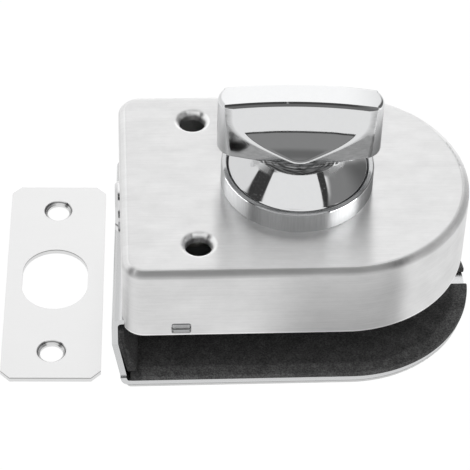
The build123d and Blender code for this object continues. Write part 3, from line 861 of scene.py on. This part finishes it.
@dataclass
class Knob:
    """Chromed casting: scooped thumb bar, flare, skirt and hub.

    Sizes are in millimetres and angles in degrees. The mesh is made where a signed distance is
    zero: u runs along the bar, v across it and z up, and distances are below zero inside.
    """

    turned: float = -2.7
    bar_bottom: float = 51.2
    bar_top: float = 67.85
    crown_radius: float = 120.0
    waist_half: float = 8.15
    draft: float = 2.0
    draft_level: float = 56.5
    shoulder: float = 17.5
    shoulder_half: float = 4.1
    apex_radius: float = 10.5
    bar_half: float = 19.9
    corner_radius: float = 0.15
    scoop_radius: float = 21.9
    scoop_y: float = 25.8
    scoop_z: float = 65.65
    scoop_lean: float = 2.5
    bevel_high: tuple[float, float] = (0.85, 0.0)
    bevel_middle: tuple[float, float] = (0.31, 0.22)
    bevel_low: tuple[float, float] = (0.0, 0.8)
    bevel_edge: float = 0.08
    cove: float = 0.7
    end_edge: float = 0.9
    rim_edge: float = 0.3
    foot_edge: float = 0.4
    neck_radius: float = 10.6
    skirt_radius: float = 17.1
    skirt_top: float = 45.3
    skirt_bottom: float = 41.35
    skirt_edge: float = 0.3
    skirt_top_edge: float = 0.12
    flare_middle: tuple[float, float] = (13.5, 47.98)
    hub_radius: float = 7.9
    hub_bottom: float = 36.7
    hub_edge: float = 0.3
    square_half: float = 3.51
    square_top: float = 54.0
    grub_radius: float = 1.62
    grub_z: float = 48.4
    cell: float = 0.25
    step: float = 0.004
    blend: float = 0.6
    parting: float = 6.0

    def bar(self, u: np.ndarray, v: np.ndarray, z: np.ndarray) -> np.ndarray:
        """Signed distances to the thumb bar's body and to the two bevels along its top.

        Args:
            u: place along the bar.
            v: place across the bar.
            z: height.

        Returns:
            Three distances, below zero inside; the largest one counts.
        """
        across = np.abs(v)
        along = np.abs(u)
        slope = math.atan2(self.waist_half - self.shoulder_half, self.shoulder)
        wall = (along * math.sin(slope) + across * math.cos(slope)
                - self.waist_half * math.cos(slope))
        apex = self.waist_half - self.apex_radius / math.cos(slope)
        tip = np.hypot(along, across - apex) - self.apex_radius
        wall = np.where(along < (across - apex) * math.tan(slope), tip, wall)
        wall = wall + (z - self.draft_level) * math.tan(math.radians(self.draft))
        plan = round_both(wall, self.bar_end(along, across), self.corner_radius)
        crown_centre = self.bar_top - self.crown_radius
        ring = np.hypot(u, z - crown_centre)
        level = ring + crown_centre
        lean = math.radians(self.scoop_lean)
        aside, above = across - self.scoop_y, level - self.scoop_z
        arc = self.scoop_radius - np.hypot(aside, above)
        straight = aside * math.cos(lean) + above * math.sin(lean) + self.scoop_radius
        low = above * math.cos(lean) < aside * math.sin(lean)
        scoop = np.where(low, arc, straight)
        top = ring - self.crown_radius
        sides = round_both(plan, scoop, self.rim_edge)
        sides = round_both(sides, self.bar_bottom - z, self.foot_edge)
        share = np.clip((plan - scoop) / self.blend, 0, 1)
        edge = self.bevel_edge + (self.end_edge - self.bevel_edge) * share
        upper = self.facet(scoop, top, self.bevel_high, self.bevel_middle)
        lower = self.facet(scoop, top, self.bevel_middle, self.bevel_low)
        return np.stack([round_both(sides, top, edge), upper, lower])

    def bar_end(self, along: np.ndarray, across: np.ndarray) -> np.ndarray:
        """Signed distance to the bar's rounded end, with its tangent beyond the corner.

        Args:
            along: distance from the bar's middle along it.
            across: distance from the bar's middle across it.

        Returns:
            The distances.
        """
        rise, run = self.shoulder_half, self.bar_half - self.shoulder
        radius = (rise ** 2 + run ** 2) / (2 * run)
        reach = along - (self.bar_half - radius)
        normal = ((self.shoulder - self.bar_half + radius) / radius, rise / radius)
        beyond = across * normal[0] > reach * normal[1]
        flat = reach * normal[0] + across * normal[1]
        return np.where(beyond, flat, np.hypot(reach, across)) - radius

    @staticmethod
    def facet(side: np.ndarray, top: np.ndarray, first: tuple[float, float],
              second: tuple[float, float]) -> np.ndarray:
        """Distance to a bevel through two points, each given as inset and depth.

        Args:
            side: distances to the bar's side.
            top: distances to the bar's top.
            first: the bevel's upper point.
            second: the bevel's lower point.

        Returns:
            The distances.
        """
        inset, depth = first[0] - second[0], second[1] - first[1]
        length = math.hypot(inset, depth)
        return ((side + first[0]) * depth + (top + first[1]) * inset) / length

    def flare(self, radius: np.ndarray, z: np.ndarray) -> np.ndarray:
        """Signed distance to the turned part below the bar.

        Args:
            radius: distance from the knob's axis.
            z: height.

        Returns:
            Distance, below zero inside.
        """
        centre, size = circle_through((self.skirt_radius, self.skirt_top), self.flare_middle,
                                      (self.neck_radius, self.bar_bottom))
        hollow = size - np.hypot(radius - centre[0], z - centre[1])
        skirt = round_both(radius - self.skirt_radius, hollow, self.skirt_edge)
        skirt = round_both(skirt, z - self.bar_bottom, self.skirt_top_edge)
        skirt = round_both(skirt, self.skirt_bottom - z, self.skirt_edge)
        hub = round_both(radius - self.hub_radius, self.hub_bottom - z, self.hub_edge)
        hub = round_both(hub, z - self.bar_bottom, self.hub_edge)
        return np.minimum(skirt, hub)

    def distance(self, points: np.ndarray) -> np.ndarray:
        """Signed distance to the whole knob.

        Args:
            points: places in the bar's own turned frame.

        Returns:
            The distance of each point.
        """
        u, v, z = points[..., 0], points[..., 1], points[..., 2]
        radius = np.hypot(u, v)
        bar = self.bar(u, v, z).max(axis=0)
        whole = round_either(bar, self.flare(radius, z), self.cove)
        square = np.maximum(np.abs(u), np.abs(v)) - self.square_half
        square = np.maximum(square, z - self.square_top)
        hole = np.maximum(np.hypot(u, z - self.grub_z) - self.grub_radius, -v)
        return np.maximum(whole, -np.minimum(square, hole))

    def slope(self, points: np.ndarray) -> np.ndarray:
        """Direction in which the distance grows.

        Args:
            points: places in the bar's own turned frame.

        Returns:
            A unit vector for each point.
        """
        direction = np.stack([self.distance(points + shift) - self.distance(points - shift)
                              for shift in np.eye(3) * self.step], -1)
        return direction / np.maximum(np.linalg.norm(direction, axis=-1, keepdims=True), 1e-9)

    def snap(self, points: np.ndarray) -> np.ndarray:
        """Move the points beside a bevel's edge onto that edge.

        Args:
            points: the mesh's points.

        Returns:
            The points, with those near an edge of the bevels on it.
        """
        moved = points.copy()
        for _ in range(4):
            values = self.bar(*moved.T)
            rises = np.stack([self.bar(*(moved + shift).T) - self.bar(*(moved - shift).T)
                              for shift in np.eye(3) * self.step], -1) / (2 * self.step)
            order = np.argsort(values, axis=0)[:0:-1]
            each = np.arange(len(points))
            pair = np.stack([values[row, each] for row in order], -1)
            jacobian = np.stack([rises[row, each] for row in order], 1)
            square = jacobian @ jacobian.transpose(0, 2, 1) + 1e-6 * np.eye(2)
            push = np.linalg.solve(square, pair[..., None])
            moved -= (jacobian.transpose(0, 2, 1) @ push)[..., 0]
        values = np.sort(self.bar(*points.T), axis=0)
        near = (np.linalg.norm(moved - points, axis=1) < 0.55 * self.cell) & (points[:, 2] > 60)
        near &= values[-1] > -0.02
        return np.where(near[:, None], moved, points)

    def corner_normals(self, points: np.ndarray, faces: list) -> np.ndarray:
        """Normals of the faces' corners: smooth, but parted at the casting's edges.

        Args:
            points: the mesh's points.
            faces: the point numbers of each face.

        Returns:
            A normal for each corner of each face.
        """
        numbers = np.array(faces)
        corners = points[numbers]
        inward = 0.5 * (corners + corners.mean(axis=1, keepdims=True))
        own = self.slope(inward)
        smooth = self.slope(points)[numbers]
        apart = np.degrees(np.arccos(np.clip((own * smooth).sum(-1), -1, 1)))
        share = np.clip(apart / self.parting - 1, 0, 1)[..., None]
        mixed = own * share + smooth * (1 - share)
        mixed /= np.linalg.norm(mixed, axis=-1, keepdims=True)
        return mixed.reshape(-1, 3)

    def build(self, finish: Material) -> Piece:
        """Make the knob's mesh.

        Args:
            finish: the chrome material.

        Returns:
            The knob.
        """
        low = np.array([-self.bar_half - 1, -self.skirt_radius - 1, self.hub_bottom - 1])
        high = np.array([self.bar_half + 1, self.skirt_radius + 1, self.bar_top + 1])
        points, faces = surface_net(self.distance, low, high, self.cell)
        for _ in range(4):
            points = points - self.slope(points) * self.distance(points)[:, None]
        points = self.snap(points)
        normals = self.corner_normals(points, faces)
        turn = math.radians(self.turned)
        spin = np.array([[math.cos(turn), -math.sin(turn), 0],
                         [math.sin(turn), math.cos(turn), 0], [0, 0, 1]])
        knob = make_piece("knob_casting", points @ spin.T, faces, finish, "turn_knob",
                          ("knob",))
        knob.data.shade_smooth()
        knob.data.normals_split_custom_set((normals @ spin.T).tolist())
        for kind, values in self.marks(points, self.slope(points)).items():
            knob.data.attributes.new(kind, "FLOAT", "POINT").data.foreach_set("value", values)
        return knob

    def marks(self, points: np.ndarray, normals: np.ndarray) -> dict[str, np.ndarray]:
        """Where the casting is less polished, and where painted shade darkens it.

        Args:
            points: the mesh's points, in the bar's own frame.
            normals: their normals.

        Returns:
            A value from 0 to 1 for each point: on the bar's flanks, in the recess of the neck, and
            on the bar's ends.
        """
        radius = np.hypot(points[:, 0], points[:, 1])
        height = points[:, 2] - self.bar_bottom
        recess = np.clip((self.neck_radius + 0.1 - radius) / 0.2, 0, 1)
        recess *= np.clip((height + 0.7) / 0.2, 0, 1) * np.clip((0.9 - height) / 0.4, 0, 1)
        slope = math.atan2(self.waist_half - self.shoulder_half, self.shoulder)
        facing = np.abs(normals[:, 0]) * math.sin(slope) + np.abs(normals[:, 1]) * math.cos(slope)
        flank = np.clip((facing - 0.985) / 0.01, 0, 1) * (height > 0)
        end = (np.abs(points[:, 0]) > self.shoulder - 0.05) * np.clip((0.975 - facing) / 0.01, 0, 1)
        end *= np.clip((0.6 - np.abs(normals[:, 2])) / 0.3, 0, 1)
        sideways = np.degrees(np.arctan2(np.abs(points[:, 0]), np.abs(points[:, 1])))
        cove = np.clip((height + 1.9) / 0.6, 0, 1) * (height < 0.9)
        cove *= np.clip((sideways - 34) / 8, 0, 1) * (radius < self.shoulder)
        end = np.maximum(end, cove * (1 - flank) * (1 - recess))
        return {"flank": flank * (1 - recess), "recess": recess, "end": end}


def circle_through(first: tuple[float, float], second: tuple[float, float],
                   third: tuple[float, float]) -> tuple[np.ndarray, float]:
    """Circle through three points.

    Args:
        first: a point.
        second: a point.
        third: a point.

    Returns:
        The centre and the radius.
    """
    a, b, c = (np.array(point) for point in (first, second, third))
    rows = 2 * np.array([b - a, c - a])
    centre = np.linalg.solve(rows, np.array([b @ b - a @ a, c @ c - a @ a]))
    return centre, float(np.linalg.norm(centre - a))


def surface_net(distance: Callable[[np.ndarray], np.ndarray], low: np.ndarray,
                high: np.ndarray, cell: float) -> tuple[np.ndarray, list]:
    """Mesh a signed distance: one point in each cell that the surface crosses.

    Args:
        distance: function that gives the signed distance of an array of points.
        low: lowest corner of the space.
        high: highest corner of the space.
        cell: edge of a cell.

    Returns:
        The points and the four-sided faces.
    """
    counts = np.ceil((high - low) / cell).astype(int) + 1
    axes = [low[k] + cell * np.arange(counts[k]) for k in range(3)]
    corners = np.stack(np.meshgrid(*axes, indexing="ij"), -1)
    values = distance(corners)
    inside = values < 0
    cells = tuple(counts - 1)
    total, count = np.zeros(cells + (3,)), np.zeros(cells)
    crossings = []
    for axis in range(3):
        first = [slice(None)] * 3
        second = [slice(None)] * 3
        first[axis], second[axis] = slice(0, -1), slice(1, None)
        a, b = values[tuple(first)], values[tuple(second)]
        crossed = inside[tuple(first)] != inside[tuple(second)]
        share = np.where(crossed, a / np.where(a == b, 1, a - b), 0)
        place = corners[tuple(first)].copy()
        place[..., axis] += share * cell
        crossings.append(crossed)
        others = [k for k in range(3) if k != axis]
        for i in (0, 1):
            for j in (0, 1):
                part = [slice(None)] * 3
                part[others[0]] = slice(i, i + cells[others[0]])
                part[others[1]] = slice(j, j + cells[others[1]])
                mask = crossed[tuple(part)]
                count += mask
                total += np.where(mask[..., None], place[tuple(part)], 0)
    used = count > 0
    number = np.full(cells, -1)
    number[used] = np.arange(used.sum())
    points = total[used] / count[used][:, None]
    faces = []
    for axis in range(3):
        i, j = [(axis + 1) % 3, (axis + 2) % 3]
        where = np.argwhere(crossings[axis])
        keep = (where[:, i] > 0) & (where[:, j] > 0)
        where = where[keep & (where[:, i] < cells[i]) & (where[:, j] < cells[j])]
        step_i, step_j = np.zeros(3, int), np.zeros(3, int)
        step_i[i], step_j[j] = 1, 1
        ring = [where, where - step_i, where - step_i - step_j, where - step_j]
        quads = np.stack([number[tuple(place.T)] for place in ring], 1)
        outward = inside[tuple(where.T)]
        faces.append(np.where(outward[:, None], quads, quads[:, ::-1]))
    return points, np.concatenate(faces).tolist()


@dataclass
class Rose:
    """Ring round the knob's skirt; sizes in millimetres."""

    outer: float = 18.75
    bore: float = 17.45
    bottom: float = 39.85
    floor: float = 1.15
    floor_bore: float = 9.2
    top: float = 45.6
    edge: float = 0.4
    inner_edge: float = 0.2
    foot_edge: float = 0.12
    steps: int = 384

    def profile(self) -> list[tuple[float, float]]:
        """Lay out the ring's section, from the foot outside and round to the floor.

        Returns:
            Radius and height of each point.
        """
        edge, inner, floor = self.edge, self.inner_edge, self.bottom + self.floor
        return [
            (self.floor_bore, self.bottom), (self.outer - self.foot_edge, self.bottom),
            (self.outer, self.bottom + self.foot_edge), (self.outer, self.top - edge - 0.05),
            *arc_points((self.outer - edge, self.top - edge), edge, 0, 90, 8),
            (self.bore + inner + 0.05, self.top),
            *arc_points((self.bore + inner, self.top - inner), inner, 90, 180, 5),
            (self.bore, floor), (self.floor_bore, floor),
        ]

    def build(self, finish: Material) -> Piece:
        """Make the ring by turning its section.

        Args:
            finish: the satin material.

        Returns:
            The ring.
        """
        points, faces = revolve(self.profile(), self.steps)
        rose = make_piece("rose_ring", points, faces, finish, "root", ("knob_rose",))
        shade_by_angle(rose)
        return rose


def arc_points(centre: tuple[float, float], radius: float, start: float, end: float,
               steps: int) -> list[tuple[float, float]]:
    """Points of an arc.

    Args:
        centre: the arc's centre.
        radius: its radius.
        start: first angle in degrees.
        end: last angle in degrees.
        steps: number of chords.

    Returns:
        The points with both ends.
    """
    turns = [math.radians(start + (end - start) * k / steps) for k in range(steps + 1)]
    return [(centre[0] + radius * math.cos(t), centre[1] + radius * math.sin(t)) for t in turns]


def revolve(profile: list[tuple[float, float]], steps: int) -> tuple[np.ndarray, list]:
    """Turn a closed section about the Z axis.

    Args:
        profile: radius and height of the section's points, in order.
        steps: facets round the axis.

    Returns:
        The points and faces.
    """
    turns = 2 * math.pi * np.arange(steps) / steps
    points = [(r * math.cos(t), r * math.sin(t), z) for t in turns for r, z in profile]
    size = len(profile)
    faces = []
    for step in range(steps):
        here, there = step * size, (step + 1) % steps * size
        for k in range(size):
            after = (k + 1) % size
            faces.append((here + k, there + k, there + after, here + after))
    return np.array(points), faces


def shade_by_angle(piece: Piece, degrees: float = 35) -> None:
    """Shade a piece smooth, with edges sharper than the angle kept sharp."""
    piece.data.shade_smooth()
    piece.data.set_sharp_from_angle(angle=math.radians(degrees))


@dataclass
class Pads:
    """Rubber liners: two on the back plate, one on the web and one on the pressure plate."""

    edge: float = 0.35
    left: float = -40.6
    centre: float = 13.2
    radius: float = 32.25
    floor: float = 2.5
    thickness: float = 1.5
    skew: float = 2.03
    strip_near: float = -2.0
    strip_far: float = 3.1
    press_corner: float = 4.0
    web_inner: float = -42.1
    web_levels: tuple[float, float, float] = (4.15, 12.3, 17.1)
    web_half: float = 28.6
    foot: float = -39.79
    foot_half: float = 31.0
    foot_swell: float = 1.0

    def build(self, finish: Material) -> list[Piece]:
        """Make the four pads.

        Args:
            finish: the rubber material.

        Returns:
            The pads.
        """
        near = self.half_plan(self.strip_near, -1)
        far = self.half_plan(self.strip_far, 1)
        top = self.floor + self.thickness
        low, high = (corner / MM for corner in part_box("pressure_pad"))
        plan = self.d_plan(low.x, high.x - high.y, high.y)
        pads = [
            self.slab("near_back_liner", near, (self.floor, top), finish, "root", "back_pad_near"),
            self.slab("far_back_liner", far, (self.floor, top), finish, "root", "back_pad_far"),
            self.web_liner(finish),
            self.slab("pressure_liner", plan, (low.z, high.z), finish, "pressure_set",
                      "pressure_pad"),
        ]
        return pads

    def half_plan(self, strip: float, side: int) -> list[tuple[float, float]]:
        """Outline of a back pad: the D's half on one side of the bare strip.

        Args:
            strip: the strip's edge.
            side: -1 for the near pad, 1 for the far one.

        Returns:
            The outline's points.
        """
        skew = math.tan(math.radians(self.skew))
        radius = self.radius
        start = math.degrees(math.asin(strip / radius))
        points = arc_points((self.centre, 0), radius, start, 90 * side, 72)
        points.append((self.left + side * radius * skew, side * radius))
        points.append((self.left + strip * skew, strip))
        return points

    def d_plan(self, left: float, centre: float, radius: float) -> list[tuple[float, float]]:
        """Outline of the pressure pad: a D with rounded left corners.

        Args:
            left: its left end.
            centre: the middle of its round end.
            radius: radius of its round end.

        Returns:
            The outline's points.
        """
        corner = self.press_corner
        points = arc_points((centre, 0), radius, -90, 90, 96)
        points += arc_points((left + corner, radius - corner), corner, 90, 180, 10)
        points += arc_points((left + corner, corner - radius), corner, 180, 270, 10)
        return points

    def slab(self, name: str, plan: list[tuple[float, float]], levels: tuple[float, float],
             finish: Material, body: str, node: str) -> Piece:
        """Make a flat pad with softened edges.

        Args:
            name: the piece's name.
            plan: its outline.
            levels: its lower and its upper level.
            finish: the rubber material.
            body: the body that it rides on.
            node: the CAD node that it replaces.

        Returns:
            The pad.
        """
        points = [(x, y, z) for z in levels for x, y in plan]
        return self.prism(name, points, finish, body, node)

    def web_liner(self, finish: Material) -> Piece:
        """Make the pad on the leaning web: a bent strip, wider and thicker at its foot.

        Args:
            finish: the rubber material.

        Returns:
            The pad.
        """
        skew = math.radians(self.skew)
        foot_z, kink_z, top_z = self.web_levels
        inner = [(self.foot + self.foot_swell, foot_z), (self.web_inner, kink_z + 0.25),
                 (self.web_inner, top_z)]
        lean = math.atan2(self.foot - self.web_inner, inner[1][1] - foot_z)
        outer = [
            (self.foot - self.thickness / math.cos(lean), foot_z),
            (self.web_inner - self.thickness, inner[1][1] - self.thickness * math.tan(lean / 2)),
            (self.web_inner - self.thickness, top_z),
        ]
        points = []
        for side in (-1, 1):
            for along, z in inner + outer[::-1]:
                share = max(0.0, (kink_z - z) / (kink_z - self.floor))
                half = side * (self.web_half + share * (self.foot_half - self.web_half))
                reach = (half + along * math.sin(skew)) / math.cos(skew)
                points.append((along * math.cos(skew) + reach * math.sin(skew), half, z))
        return self.prism("web_liner", points, finish, "root", "web_pad")

    def prism(self, name: str, points: list[tuple[float, float, float]], finish: Material,
              body: str, node: str) -> Piece:
        """Make a pad between two equal outlines, with softened edges.

        Args:
            name: the piece's name.
            points: the points of the first outline and then those of the second.
            finish: the rubber material.
            body: the body that it rides on.
            node: the CAD node that it replaces.

        Returns:
            The pad.
        """
        size = len(points) // 2
        faces = [tuple(range(size)), tuple(range(size, 2 * size))]
        faces += [(k, (k + 1) % size, size + (k + 1) % size, size + k) for k in range(size)]
        pad = make_piece(name, np.array(points), faces, finish, body, (node,))
        soften(pad, self.edge)
        return pad


def soften(piece: Piece, radius: float) -> None:
    """Round a piece's sharp edges in its mesh.

    Args:
        piece: the piece.
        radius: size of the rounding in millimetres.
    """
    work = bmesh.new()
    work.from_mesh(piece.data)
    bmesh.ops.recalc_face_normals(work, faces=work.faces)
    sharp = [edge for edge in work.edges if edge.calc_face_angle(0) > math.radians(40)]
    bmesh.ops.bevel(work, geom=sharp, offset=radius * MM, segments=4, profile=0.5, affect="EDGES")
    work.to_mesh(piece.data)
    work.free()
    shade_by_angle(piece)


METALS = {
    "cover_steel": Metal(
        "brushed_cover_steel", (0.9, 0.9, 0.9), 0.34, Grain.BRUSHED, anisotropy=1.0,
        lines=3800.0, streak=0.2, clouds=0.32, painted_fold_shade=0.5, painted_wall_shade=0.86, cut_level=0.95,
        wall_roughness=0.3, bend_roughness=0.4, painted_highlight_level=18.85,
        lips=((-25.0, 22.0), (-25.0, -22.0)),
    ),
    "frame_steel": Metal("sheet_steel", (0.62, 0.625, 0.63), 0.24, Grain.BRUSHED,
                         anisotropy=0.5, shadowed_seams=(1.0,)),
    "strike_steel": Metal("brushed_strike_steel", (0.74, 0.74, 0.74), 0.3, Grain.BRUSHED,
                          anisotropy=0.6, shadowed_seams=(1.22,)),
    "bolt_steel": Metal("turned_bolt_steel", (0.68, 0.68, 0.685), 0.12, Grain.TURNED,
                        relief=6e-7),
    "inner_steel": Metal("plated_inner_steel", (0.72, 0.72, 0.7), 0.3, Grain.CAST,
                         lines=1500.0, relief=4e-6),
    "case_zinc": Metal("cast_zinc", (0.5, 0.51, 0.52), 0.5, Grain.CAST, lines=2200.0,
                       relief=1.5e-5),
    "bush_brass": Metal("turned_brass", (0.83, 0.66, 0.34), 0.25, Grain.CAST, lines=1800.0,
                        relief=3e-6),
}


@dataclass
class Finishes:
    """Finishes of the material slots, and the CAD nodes that wear them."""

    metals: dict[str, Metal] = field(default_factory=METALS.copy)
    # Painted shade: the clips, seen through the cover's slots, are made dark to stand in for the
    # shade inside the slots.
    clip_with_painted_shade: Metal = Metal("clip_steel_painted_shade", (0.26, 0.26, 0.27), 0.25, Grain.CAST,
                          lines=1500.0, relief=4e-6)
    sprung: str = "cover_clips"

    def build(self) -> dict[str, Material]:
        """Make the materials.

        Returns:
            The material of each slot.
        """
        slots = {slot: metal.material() for slot, metal in self.metals.items()}
        slots["pad_rubber"] = Rubber().material()
        slots["knob_chrome"] = Chrome().material()
        return slots

    def dress(self, slots: dict[str, Material]) -> None:
        """Give every CAD node the finish of its material slot.

        Args:
            slots: the material of each slot.
        """
        wearers = self.node_slots()
        clip_with_painted_shade = self.clip_with_painted_shade.material()
        for name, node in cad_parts.items():
            material = clip_with_painted_shade if name == self.sprung else slots[wearers[name]]
            node.data.materials.clear()
            node.data.materials.append(material)
            LOG.info("node %s wears %s", name, material.name)

    @staticmethod
    def node_slots() -> dict[str, str]:
        """Find the material slot of each CAD node.

        Returns:
            The slots by the node's name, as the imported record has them.
        """
        found = {}
        for name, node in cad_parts.items():
            names = [slot.material.name for slot in node.material_slots if slot.material]
            found[name] = names[0] if names else "inner_steel"
        return found


def main() -> None:
    """Build every piece in order."""
    logging.basicConfig(level=logging.INFO, format="%(name)s: %(message)s")
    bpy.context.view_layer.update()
    finishes = Finishes()
    slots = finishes.build()
    finishes.dress(slots)
    rose = Rose().build(RingFinish().material())
    knob = Knob().build(slots["knob_chrome"])
    for piece in (knob, rose, *Pads().build(slots["pad_rubber"])):
        LOG.info("made %s with %d faces", piece.name, len(piece.data.polygons))
    Studio().build(rose)
    bpy.context.scene.view_settings.view_transform = "Standard"


if __name__ == "__main__":
    main()
